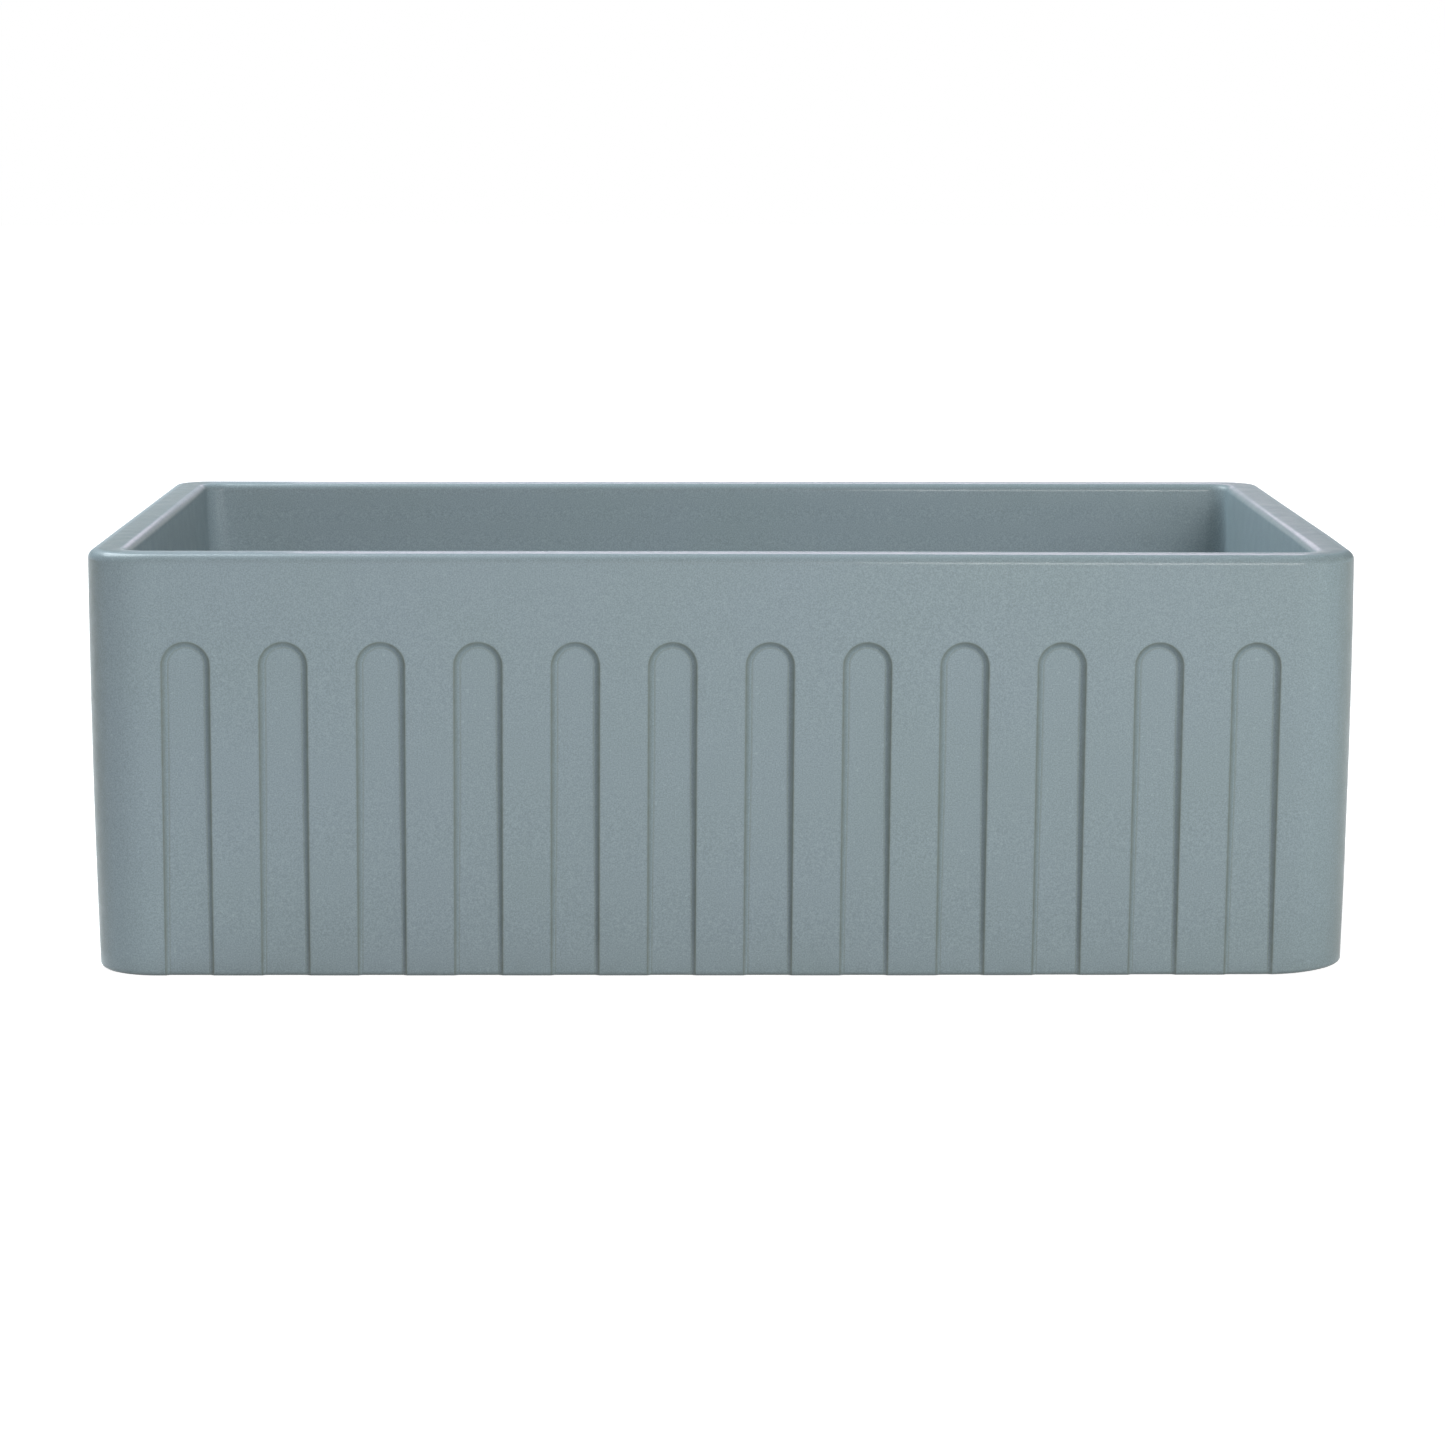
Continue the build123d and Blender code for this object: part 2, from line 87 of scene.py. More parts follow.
class SinkColourSettings(bpy.types.PropertyGroup):
    """Colours of the finishes"""

    glaze: colour("Glaze", "Main colour of the glaze", (0.232, 0.287, 0.316))
    clay: colour("Clay", "Bare fired clay of the underside", (0.58, 0.53, 0.45))
    # this colour also serves as painted shade on the front corners, the rim's sides and the flutes' feet
    glaze_edge: colour("Thin glaze", "Colour where the glaze runs thin", (0.135, 0.16, 0.145))
    steel: colour("Steel", "Stainless steel", (0.62, 0.62, 0.61))
    chrome: colour("Chrome", "Plated brass", (0.78, 0.78, 0.78))
    zinc: colour("Zinc", "Plated nuts", (0.54, 0.54, 0.52))
    rubber: colour("Rubber", "Gasket and seal", (0.022, 0.022, 0.023))
    fibre: colour("Fibre", "Friction ring", (0.36, 0.25, 0.14))
    putty: colour("Putty", "Bead under the flange", (0.6, 0.56, 0.48))
    plastic: colour("Plastic", "Washer of the waste pipe", (0.78, 0.78, 0.74))


# ---- shader expressions -------------------------------------------------------------------------
class Level:
    """A shader socket that works in Python expressions: each operator adds a Math node."""

    def __init__(self, finish, socket):
        self.finish = finish
        self.socket = socket

    def math(self, operation, first, second):
        return self.finish.node("ShaderNodeMath", {"operation": operation}, {0: first, 1: second})

    def __add__(self, other):
        return self.math("ADD", self, other)

    def __radd__(self, other):
        return self.math("ADD", other, self)

    def __sub__(self, other):
        return self.math("SUBTRACT", self, other)

    def __rsub__(self, other):
        return self.math("SUBTRACT", other, self)

    def __mul__(self, other):
        return self.math("MULTIPLY", self, other)

    def __rmul__(self, other):
        return self.math("MULTIPLY", other, self)


class Nodes:
    """Adds nodes to one tree."""

    def __init__(self, tree):
        self.tree = tree

    def node(self, kind, settings, sockets, output=0):
        """Adds a node, sets it up, fills its sockets and returns one output."""
        made = self.tree.nodes.new(kind)
        for name, value in settings.items():
            if name == "stops":
                ramp = made.color_ramp.elements
                while len(ramp) < len(value):
                    ramp.new(0.5)
                for element, (position, shade) in zip(ramp, value):
                    element.position = position
                    element.color = (shade, shade, shade, 1.0)
            else:
                setattr(made, name, value)
        for name, value in sockets.items():
            self.fill(made.inputs[name], value)
        return Level(self, made.outputs[output])

    def fill(self, socket, value):
        if isinstance(value, Level):
            self.tree.links.new(value.socket, socket)
        elif socket.type == "RGBA" and len(value) == 3:
            socket.default_value = (*value, 1.0)
        else:
            socket.default_value = value

    def ramp(self, level, *stops):
        return self.node("ShaderNodeValToRGB", {"stops": stops}, {"Fac": level})

    def blend(self, factor, first, second, mode="MIX"):
        settings = {"data_type": "RGBA", "blend_type": mode}
        return self.node("ShaderNodeMix", settings, {0: factor, 6: first, 7: second}, 2)

    def seen(self):
        """1 for what the eye sees directly, mirrored or through glass, 0 for what only gives light."""
        rays = [
            self.node("ShaderNodeLightPath", {}, {}, ray)
            for ray in ("Is Camera Ray", "Is Glossy Ray", "Is Transmission Ray")
        ]
        return rays[0] + rays[1] + rays[2]


class Finish(Nodes):
    """A material under construction."""

    def __init__(self, name, **constants):
        self.material = bpy.data.materials.new(name)
        self.material.use_nodes = True
        super().__init__(self.material.node_tree)
        self.shader = self.tree.nodes["Principled BSDF"]
        for socket, value in constants.items():
            self.shader.inputs[socket.replace("_", " ")].default_value = value

    def place(self):
        return self.node("ShaderNodeTexCoord", {}, {}, "Object")

    def noise(self, size, detail=2.0, stretch=(1.0, 1.0, 1.0), offset=(0.0, 0.0, 0.0)):
        """Noise whose grains are about size metres across."""
        moves = {"Vector": self.place(), "Scale": stretch, "Location": offset}
        where = self.node("ShaderNodeMapping", {}, moves)
        return self.node(
            "ShaderNodeTexNoise", {}, {"Vector": where, "Scale": 1.0 / size, "Detail": detail}
        )

    def painted(self, attribute):
        return self.node("ShaderNodeAttribute", {"attribute_name": attribute}, {}, "Fac")

    def bump(self, height, strength, distance):
        return self.node(
            "ShaderNodeBump", {}, {"Height": height, "Strength": strength, "Distance": distance}
        )

    def done(self, **sockets):
        for name, value in sockets.items():
            self.fill(self.shader.inputs[name.replace("_", " ")], value)
        return self.material


# ---- meshes -------------------------------------------------------------------------------------
class Skin:
    """Points and faces of a piece, in millimetres."""

    def __init__(self):
        self.points = []
        self.marks = []
        self.faces = []

    def row(self, coordinates, mark=0.0):
        """Adds a row of points; its mark is one number, a list or worked out from a point."""
        first = len(self.points)
        self.points.extend(coordinates)
        if callable(mark):
            mark = [mark(*point) for point in coordinates]
        self.marks.extend(mark if isinstance(mark, list) else [mark] * len(coordinates))
        return list(range(first, len(self.points)))

    def strip(self, lower, upper, closed=False):
        """Quads between two rows of as many points."""
        count = len(lower)
        for i in range(count if closed else count - 1):
            j = (i + 1) % count
            self.faces.append((lower[i], lower[j], upper[j], upper[i]))

    def zip(self, lower, upper):
        """Triangles between two rows along X that have different numbers of points."""
        i = j = 0
        while i < len(lower) - 1 or j < len(upper) - 1:
            step_lower = j == len(upper) - 1 or (
                i < len(lower) - 1
                and self.points[lower[i + 1]][0] < self.points[upper[j + 1]][0]
            )
            if step_lower:
                self.faces.append((lower[i], lower[i + 1], upper[j]))
                i += 1
            else:
                self.faces.append((lower[i], upper[j + 1], upper[j]))
                j += 1

    def build(self, name, merge=0.0005, sharp=35.0, move=None):
        """Makes the mesh object, with the marks as the attribute "mark"."""
        mesh = bpy.data.meshes.new(name)
        mesh.from_pydata([Vector(p) * MM for p in self.points], [], self.faces)
        mesh.attributes.new("mark", "FLOAT", "POINT").data.foreach_set("value", self.marks)
        work = bmesh.new()
        work.from_mesh(mesh)
        bmesh.ops.remove_doubles(work, verts=work.verts, dist=merge * MM)
        if move:
            for vertex in work.verts:
                vertex.co += move(vertex.co / MM) * MM
        work.to_mesh(mesh)
        work.free()
        mesh.shade_smooth()
        mesh.set_sharp_from_angle(angle=radians(sharp))
        made = bpy.data.objects.new(name, mesh)
        bpy.context.collection.objects.link(made)
        return made


def rounded(corners, steps=5):
    """Points of a closed profile whose corners (radius, height, rounding) are rounded off."""
    points = []
    count = len(corners)
    for i, (r, z, rounding) in enumerate(corners):
        here = Vector((r, z))
        if rounding <= 0.0:
            points.append(here)
            continue
        back = (Vector(corners[i - 1][:2]) - here).normalized()
        ahead = (Vector(corners[(i + 1) % count][:2]) - here).normalized()
        half = back.angle(ahead) / 2
        reach = rounding / tan(half)
        centre = here + (back + ahead).normalized() * (rounding / sin(half))
        start, end = here + back * reach - centre, here + ahead * reach - centre
        turn = start.angle_signed(end)
        for step in range(steps + 1):
            angle = -turn * step / steps
            sine, cosine = sin(angle), cos(angle)
            x, y = start.x * cosine - start.y * sine, start.x * sine + start.y * cosine
            points.append(centre + Vector((x, y)))
    return [(p.x, p.y) for p in points]


def lathe(name, profile, steps=96, ripple=None, sharp=35.0):
    """Turns a closed profile, clockwise in (radius, height), round the Z axis."""
    skin = Skin()
    rings = []
    for r, z in profile:
        ring = []
        for i in range(steps):
            angle = 2 * pi * i / steps
            radius = r + (ripple(r, z, angle) if ripple else 0.0)
            ring.append((radius * cos(angle), radius * sin(angle), z))
        rings.append(skin.row(ring))
    for lower, upper in zip(rings, rings[1:] + rings[:1]):
        skin.strip(upper, lower, closed=True)
    return skin.build(name, sharp=sharp)


def ring_points(x, y, radius, z, steps):
    """Points of a level circle."""
    angles = [2 * pi * k / steps for k in range(steps)]
    return [(x + radius * cos(angle), y + radius * sin(angle), z) for angle in angles]


def add_bar(skin, near_points, far_points):
    """A closed bar between two outlines of as many points."""
    near, far = skin.row(near_points), skin.row(far_points)
    skin.strip(near, far, closed=True)
    skin.faces.append(tuple(reversed(near)))
    skin.faces.append(tuple(far))


def cut(piece, cutters):
    """Takes the cutters out of a piece for good."""
    for cutter in cutters:
        modifier = piece.modifiers.new("cut", "BOOLEAN")
        modifier.operation = "DIFFERENCE"
        modifier.solver = "EXACT"
        modifier.object = cutter
    ready = piece.evaluated_get(bpy.context.evaluated_depsgraph_get())
    mesh = bpy.data.meshes.new_from_object(ready)
    piece.modifiers.clear()
    piece.data = mesh
    for cutter in cutters:
        bpy.data.objects.remove(cutter)
    mesh.shade_smooth()
    mesh.set_sharp_from_angle(angle=radians(30.0))


# ---- basin --------------------------------------------------------------------------------------
CORNER_STEPS, SIDE_STEPS, BACK_STEPS = 14, 36, 90
ARCH_STEPS = 32
FLOOR_STEPS = 8
BARE = -1.0  # the mark of unglazed clay; above 0 it darkens the glaze, for thin glaze on edges and for painted shade on corners, rim sides and creases


class Basin:
    """Works out the basin's surface from its settings, in millimetres."""

    front_corner, rear_corner = 38.0, 25.0
    mouth_corner, sweep_corner, floor_corner = 12.0, 26.0, 4.0
    rim_outer, rim_inner, rim_crown = 5.8, 5.0, 0.28
    foot_round = 3.0
    floor_level, drain_level, floor_sweep = 25.0, 22.0, 25.0
    bowl_slope = tan(radians(2.4))
    arch = 187.4  # height of the arches' centres
    drift, leaning = -0.87, 1.0  # the flutes stand a little to the left, and lean to the right
    slack = 0.06  # room kept inside the solid's box
    side_inset = 0.45  # how much further in the two sides stand
    field_margin = 2.7  # from the last flute's edge to where the field is drawn in
    low_levels, toe_levels = (10.0, 150.0), (3.0, 26.0)  # where flutes fade towards the foot
    low_loss, toe_loss = 0.28, 0.34  # the shares of their depth that they lose there
    low_narrowing = 0.3  # the share of their walls' width that they lose
    left_corner_thin, right_corner_thin = 0.9, 0.6  # painted shade on the upright front corners, more on the left
    left_rim_thin, right_rim_thin = 0.55, 0.3  # and painted shade on the rim's two sides, more on the left
    corner_share = 0.45  # how much of a front corner's radius is marked
    corner_fade = 8.0, 80.0  # behind the front, where that mark fades out
    rim_blur = 8.0
    waver = 0.12  # half of the most that a face wavers
    face_reach = 14.0  # points this near an outer face waver with it
    foot_zone = 60.0  # the lift of the foot dies out at this height

    def __init__(self, settings):
        self.height = settings.height / MM
        self.foot_inset = settings.foot_inset / MM
        self.belly = settings.belly / MM
        widest = max(-self.inset(self.height * (1.0 - k / 50.0)) for k in range(50))
        self.half_x = settings.width / MM / 2 - self.slack - self.side_inset - widest
        self.half_y = settings.depth / MM / 2 - self.slack - widest
        self.rim = settings.rim_width / MM
        self.count = settings.flute_count
        self.pitch = settings.flute_pitch / MM
        self.flute_half = settings.flute_width / MM / 2
        self.flute_deep = settings.flute_depth / MM
        self.cell = self.pitch / 2
        self.edge = self.cell * (self.count - 1) + self.flute_half + self.field_margin
        self.field_half = self.spread(self.cell * self.count)

    def inset(self, z):
        """How far an outer face stands in from the rim's line at a height."""
        fall = 1.0 - z / self.height
        return (self.foot_inset + self.belly) * fall * fall - self.belly * fall

    def outer(self, z):
        return self.half_x - self.inset(z), self.half_y - self.inset(z)

    def centre(self, i):
        return (i - (self.count - 1) / 2) * self.pitch

    def shift(self, z):
        return self.drift + self.leaning * (z / self.arch - 0.5)

    def spread(self, x):
        """X of a point of the fluted field, drawn in beside the upright corners."""
        beyond = abs(x) - self.edge
        if beyond <= 0.0:
            return x
        room = self.half_x - self.foot_inset - self.front_corner - 0.5 - self.edge
        return (self.edge + beyond * room / (self.cell * self.count - self.edge)) * (1 if x > 0 else -1)

    def front_stations(self):
        """X of the points along the top of the flutes' field."""
        quarter = ARCH_STEPS // 4
        within = [
            self.cell / tan(pi * (ARCH_STEPS // 2 - step) / ARCH_STEPS) if step else 0.0
            for step in range(-quarter, quarter + 1)
        ]
        stations = []
        for i in range(self.count):
            stations.extend(self.spread(self.centre(i) + x) for x in within[(1 if i else 0):])
        return stations

    def outline(self, half_x, half_y, front_corner, rear_corner, z):
        """One loop round the basin: the front row from left to right, then the rest of the way."""
        reach, rear_reach = half_x - front_corner, half_x - rear_corner
        near, far = front_corner - half_y, half_y - rear_corner
        squeeze = min(1.0, reach / (self.field_half + 0.2))
        front = [(x * squeeze, -half_y, z) for x in self.front_stations()]
        rest = []

        def arc(centre_x, centre_y, radius, start):
            for step in range(CORNER_STEPS + 1):
                angle = start + pi / 2 * step / CORNER_STEPS
                rest.append((centre_x + radius * cos(angle), centre_y + radius * sin(angle), z))

        def run(x0, y0, x1, y1, steps):
            for step in range(1, steps):
                part = step / steps
                rest.append((x0 + (x1 - x0) * part, y0 + (y1 - y0) * part, z))

        arc(reach, near, front_corner, -pi / 2)
        run(half_x, near, half_x, far, SIDE_STEPS)
        arc(rear_reach, far, rear_corner, 0.0)
        run(rear_reach, half_y, -rear_reach, half_y, BACK_STEPS)
        arc(-rear_reach, far, rear_corner, pi / 2)
        run(-half_x, far, -half_x, near, SIDE_STEPS)
        arc(-reach, near, front_corner, pi)
        return front, rest

    def corner_mark(self, x, y, z):
        """Painted shade round the upright front corners, stronger on the left."""
        # thin is how strong the painted shade is on this side
        thin = self.left_corner_thin if x < 0.0 else self.right_corner_thin
        turned = smooth(-self.front_corner * self.corner_share, 0.0, abs(x) - self.half_x)
        start, end = self.corner_fade
        return thin * turned * (1.0 - smooth(-self.half_y + start, -self.half_y + end, y))

    def rim_mark(self, x, y, z):
        """Painted shade on the rim's two sides, stronger on the left."""
        side, blur = self.half_x - self.rim, self.rim_blur
        left = self.left_rim_thin * smooth(-side + blur, -side - blur, x)
        return left + self.right_rim_thin * smooth(side - blur, side + blur, x)

    def uneven(self, co):
        """How the casting settled in the kiln, and the waver of its faces: never outwards."""
        wave = noise.noise(Vector((co.x / 210.0, co.y / 190.0, co.z / 130.0 + 7.0)))
        wave += 0.4 * noise.noise(Vector((co.x / 60.0 + 3.0, co.y / 60.0, co.z / 55.0)))
        amount = self.waver * (1.0 + max(-1.0, min(1.0, wave * 1.4)))
        out = Vector((0.0, 0.0, 0.0))
        if co.y < -self.half_y + self.face_reach:
            out.y = amount
        if co.y > self.half_y - self.face_reach:
            out.y = -amount
        if abs(co.x) > self.half_x - self.face_reach:
            out.x = -amount if co.x > 0 else amount
        # the foot's right half stands a little higher, most of all at its front corner
        if co.z < self.foot_zone and abs(co.x) > 90.0:
            corner = smooth(320.0, 374.0, co.x) * smooth(-120.0, -180.0, co.y)
            lift = 0.4 * smooth(90.0, 300.0, co.x) + 2.4 * corner
            out.z = lift * (1.0 - co.z / self.foot_zone) ** 2
        # the rim sags a little at the rear left and the front right
        if co.z > 200.0:
            sag = 0.2 * exp(-(((co.x + 235.0) / 130.0) ** 2)) * smooth(100.0, 200.0, co.y)
            sag += 0.5 * smooth(0.0, 300.0, co.x) * smooth(-100.0, -200.0, co.y)
            out.z = -sag * smooth(200.0, 250.0, co.z)
        return out


def smooth(low, high, x):
    part = max(0.0, min(1.0, (x - low) / (high - low)))
    return part * part * (3.0 - 2.0 * part)


def flute_contour(depth):
    """A flute's edge in section: (distance in from its outline, depth), from the apron inwards."""
    slope_width, lip, foot, steps = 3.0, 1.3, 1.0, 7
    slope = atan2(depth, slope_width)
    start = lip * tan(slope / 2)
    end = foot * tan(slope / 2)
    contour = [(-8.0, 0.0), (-5.0, 0.0), (-3.0, 0.0), (-1.5, 0.0)]
    for step in range(steps + 1):
        angle = slope * step / steps
        contour.append((-start + lip * sin(angle), lip * (1 - cos(angle))))
    for step in range(steps + 1):
        angle = slope * (1 - step / steps)
        contour.append((slope_width + end - foot * sin(angle), depth - foot * (1 - cos(angle))))
    contour.append((slope_width + end + 1.2, depth))
    contour.append((slope_width + end + 2.6, depth))
    return contour


def edge_mark(inset):
    """How dark a flute's edge is: a line on its lip, where the glaze runs thin, and a fainter line of
    painted shade at its foot.
    """
    lip_line, lip_spread = 0.1, 0.55
    # the foot line is painted shade in the crease where the wall meets the flute's floor
    foot_line, foot_spread, foot_share = 3.6, 0.5, 0.6
    lip = exp(-(((inset - lip_line) / lip_spread) ** 2))
    return lip + foot_share * exp(-(((inset - foot_line) / foot_spread) ** 2))


def flute_columns(basin, contour):
    """The columns across one flute's cell: (place, depth, mark)."""
    inner = basin.flute_half - contour[-1][0]
    half = [(-basin.cell, 0.0, 0.0)]
    half += [(inset - basin.flute_half, depth, edge_mark(inset)) for inset, depth in contour]
    across = [inner * (2 * step / FLOOR_STEPS - 1) for step in range(1, FLOOR_STEPS)]
    floor = [(x, basin.flute_deep, 0.0) for x in across]
    return half + floor + [(-x, depth, shade) for x, depth, shade in reversed(half)]


def narrowed(x, half, wall, share):
    """X in a flute whose walls keep only a share of their width, and whose floor takes the rest."""
    within = half - abs(x)
    if within <= 0.0:
        return x
    if within <= wall:
        return (half - within * share) * (1 if x > 0 else -1)
    return x * (half - wall * share) / (half - wall)


def add_arches(skin, basin, contour):
    """The arched top of each flute, as rings from its cell's square down to its floor."""

    def front_point(x, z, depth):
        return (basin.spread(x), -basin.outer(z)[1] + depth, z)

    for i in range(basin.count):
        centre = basin.centre(i)
        rings = []
        for inset, depth in [(None, 0.0)] + contour:
            ring = []
            for step in range(ARCH_STEPS + 1):
                angle = pi - pi * step / ARCH_STEPS
                if inset is None:
                    reach = basin.cell / max(abs(cos(angle)), abs(sin(angle)))
                    x, z = centre + reach * cos(angle), basin.arch + reach * sin(angle)
                else:
                    reach = basin.flute_half - inset
                    z = basin.arch + reach * sin(angle)
                    x = centre + basin.shift(z) + reach * cos(angle)
                ring.append(front_point(x, z, depth))
            rings.append(skin.row(ring, 0.0 if inset is None else edge_mark(inset)))
        for outside, inside in zip(rings, rings[1:]):
            skin.strip(inside, outside)
        edge = [skin.points[n] for n in rings[-1]]
        previous = None
        for step in range(ARCH_STEPS // 2):
            left, right = edge[step], edge[ARCH_STEPS - step]
            across = [left[0] + (right[0] - left[0]) * k / FLOOR_STEPS for k in range(FLOOR_STEPS + 1)]
            row = skin.row([front_point(x, left[2], basin.flute_deep) for x in across])
            if previous:
                skin.strip(previous, row)
            previous = row
        apex = rings[-1][ARCH_STEPS // 2]
        for k in range(FLOOR_STEPS):
            skin.faces.append((previous[k], previous[k + 1], apex))


def build_basin(settings):
    basin = Basin(settings)
    skin = Skin()
    contour = flute_contour(basin.flute_deep)
    columns = flute_columns(basin, contour)
    top = basin.arch + basin.cell
    foot = basin.foot_round

    def field_row(z, lowered=0.0, inset=0.0, least=0.0):
        """One row across the whole field of flutes, whose walls grow narrower towards the foot."""
        coordinates, marks = [], []
        low, toe = 1.0 - smooth(*basin.low_levels, z), 1.0 - smooth(*basin.toe_levels, z)
        depth_share = 1.0 - basin.low_loss * low - basin.toe_loss * toe
        wall_share = 1.0 - basin.low_narrowing * low
        for i in range(basin.count):
            for n, (x, depth, shade) in enumerate(columns):
                if i and not n:
                    continue
                at_end = abs(x) > basin.cell - 1e-6
                x = narrowed(x, basin.flute_half, contour[-1][0], wall_share)
                place = basin.spread(basin.centre(i) + x + (0.0 if at_end else basin.shift(z)))
                sunk = depth * depth_share + inset
                coordinates.append((place, -basin.outer(z)[1] + sunk, z - lowered))
                marks.append(max(least, shade))
        return skin.row(coordinates, marks)

    # levels of the field's straight rows, then of the arches' sides
    straight = [foot + (basin.arch - foot) * step / 22 for step in range(23)]
    rise = [basin.cell * tan(pi * step / ARCH_STEPS) for step in range(1, ARCH_STEPS // 4 + 1)]
    levels = straight + [basin.arch + r for r in rise]
    rows = [field_row(z) for z in straight]
    for lower, upper in zip(rows, rows[1:]):
        skin.strip(lower, upper)
    add_arches(skin, basin, contour)

    # the loops: underside, outside, rim, bowl, drain
    def loop(half_x, half_y, front_corner, rear_corner, z, shade=0.0):
        front, rest = basin.outline(half_x, half_y, front_corner, rear_corner, z)
        return skin.row(front, shade), skin.row(rest, shade)

    def whole(*outline):
        front, rest = loop(*outline)
        return front + rest

    def around(pair):
        front, rest = pair
        return [front[-1]] + rest + [front[0]]

    def toward_circle(line, radius, part, height, shade=0.0):
        """A loop part of the way from an outline to the drain's circle."""
        coordinates = []
        for n in line:
            x, y, z = skin.points[n]
            angle = atan2(y, x)
            px = x + (radius * cos(angle) - x) * part
            py = y + (radius * sin(angle) - y) * part
            coordinates.append((px, py, height(px, py, part)))
        return skin.row(coordinates, shade)

    def circle(line, radius, z, shade=0.0):
        return toward_circle(line, radius, 1.0, lambda x, y, part: z, shade)

    foot_x, foot_y = basin.outer(foot)
    turns = basin.front_corner, basin.rear_corner
    relief, band, opening = 2.0, 45.0, 45.0
    under_inset = 9.0

    # underside, from the drain outwards
    relief_edge = whole(foot_x - band - 2.0, foot_y - band - 2.0, 28.0, 28.0, relief, BARE)
    chain = [circle(relief_edge, opening, relief, BARE)]
    for part in (0.85, 0.65, 0.45, 0.28, 0.15, 0.06):
        chain.append(toward_circle(relief_edge, opening, part, lambda x, y, p: relief, BARE))
    chain.append(relief_edge)
    for inset, z in ((1.2, 1.75), (0.0, 1.0), (-1.2, 0.25), (-2.4, 0.0), (-8.0, 0.0), (-30.0, 0.0)):
        chain.append(whole(foot_x - band - inset, foot_y - band - inset, 30.0, 30.0, z, BARE))
    under_turns = [turn - under_inset for turn in turns]
    under = loop(foot_x - under_inset, foot_y - under_inset, *under_turns, 0.0, BARE)
    chain.append(under[0] + under[1])
    for lower, upper in zip(chain, chain[1:]):
        skin.strip(lower, upper, closed=True)

    # the foot's rounding: dense along the flutes, plain round the rest
    previous = None
    for step in range(5):
        angle = pi / 2 * (1 - step / 4)
        inset, z = foot * (1 - cos(angle)), foot * (1 - sin(angle))
        # the foot's rounding is painted darker towards the bottom
        shade = 0.1 + 0.5 * (1 - z / foot)
        field = field_row(foot, lowered=foot - z, inset=inset, least=shade)
        foot_turns = [turn - inset for turn in turns]
        side = around(loop(foot_x - inset, foot_y - inset, *foot_turns, z, shade))
        if previous:
            skin.strip(previous[0], field)
            skin.strip(previous[1], side)
        else:
            skin.zip(under[0], field)
            skin.strip(around(under), side)
        previous = (field, side)
    skin.strip(previous[0], rows[0])
    side_row = previous[1]

    # outer faces up to the top of the field
    for z in levels[1:]:
        side = around(loop(*basin.outer(z), *turns, z, basin.corner_mark))
        skin.strip(side_row, side)
        side_row = side

    # rim, bowl and floor
    rim_edge = basin.height - basin.rim_crown
    shoulder = rim_edge - basin.rim_outer
    chain = []
    for step in range(5):
        z = top + (shoulder - top) * step / 4
        chain.append(whole(*basin.outer(z), *turns, z, basin.corner_mark))
    top_x, top_y = basin.outer(shoulder)

    def inward(inset, front_corner, rear_corner, z, shade=0.0):
        chain.append(whole(top_x - inset, top_y - inset, front_corner, rear_corner, z, shade))

    for step in range(1, 11):
        angle = pi / 2 * step / 10
        inset = basin.rim_outer * (1 - cos(angle))
        z = shoulder + basin.rim_outer * sin(angle)
        inward(inset, basin.front_corner - inset, basin.rear_corner - inset, z, 0.12 * sin(2 * angle))
    land = basin.rim - basin.rim_inner
    land_corner = basin.mouth_corner + basin.rim_inner
    for part in (0.12, 0.3, 0.5, 0.7, 0.88, 1.0):
        inset = basin.rim_outer + (land - basin.rim_outer) * part
        front_corner = basin.front_corner - basin.rim_outer
        rear_corner = basin.rear_corner - basin.rim_outer
        front_corner += (land_corner - front_corner) * part
        rear_corner += (land_corner - rear_corner) * part
        z = basin.height - basin.rim_crown * (2 * part - 1) ** 2
        inward(inset, front_corner, rear_corner, z, basin.rim_mark)
    for step in range(1, 11):
        angle = pi / 2 * step / 10
        inset = land + basin.rim_inner * sin(angle)
        corner = land_corner - basin.rim_inner * sin(angle)
        z = rim_edge - basin.rim_inner * (1 - cos(angle))
        inward(inset, corner, corner, z, 0.2 * sin(2 * angle))
    wall_top = rim_edge - basin.rim_inner
    wall_foot = basin.floor_level + basin.floor_sweep
    for step in range(1, 15):
        z = wall_top + (wall_foot - wall_top) * step / 14
        corner = basin.mouth_corner + (basin.sweep_corner - basin.mouth_corner) * step / 14
        inward(basin.rim + (wall_top - z) * basin.bowl_slope, corner, corner, z)
    wall_inset = basin.rim + (wall_top - wall_foot) * basin.bowl_slope
    for step in range(1, 13):
        angle = pi / 2 * step / 12
        part = 1 - cos(angle)
        corner = basin.sweep_corner + (basin.floor_corner - basin.sweep_corner) * part
        z = wall_foot - basin.floor_sweep * sin(angle)
        inward(wall_inset + basin.floor_sweep * part, corner, corner, z)
    floor_edge = chain[-1]
    floor_x = top_x - wall_inset - basin.floor_sweep
    floor_y = top_y - wall_inset - basin.floor_sweep

    def floor_height(x, y, part):
        reach = ((abs(x) / floor_x) ** 5 + (abs(y) / floor_y) ** 5) ** 0.2
        slope_level = basin.drain_level + (basin.floor_level - basin.drain_level) * reach
        settle = part ** 4
        return slope_level * (1 - settle) + (basin.drain_level + 0.6) * settle

    for part in (0.04, 0.1, 0.18, 0.28, 0.4, 0.52, 0.64, 0.75, 0.84, 0.91, 0.96, 1.0):
        chain.append(toward_circle(floor_edge, 60.2, part, floor_height))
    recess = (
        (59.8, 22.55), (59.3, 22.3), (58.8, 21.8), (58.5, 21.0), (58.5, 18.6), (58.1, 17.8), (57.2, 17.5),
        (45.5, 17.5), (44.8, 17.2), (44.5, 16.5), (44.5, 2.6), (44.7, 2.15),
    )
    for radius, z in recess:
        chain.append(circle(floor_edge, radius, z))
    chain.append(circle(relief_edge, opening, relief))
    for lower, upper in zip(chain, chain[1:]):
        skin.strip(lower, upper, closed=True)
    return skin.build("glazed_basin", merge=0.002, sharp=60.0, move=basin.uneven)


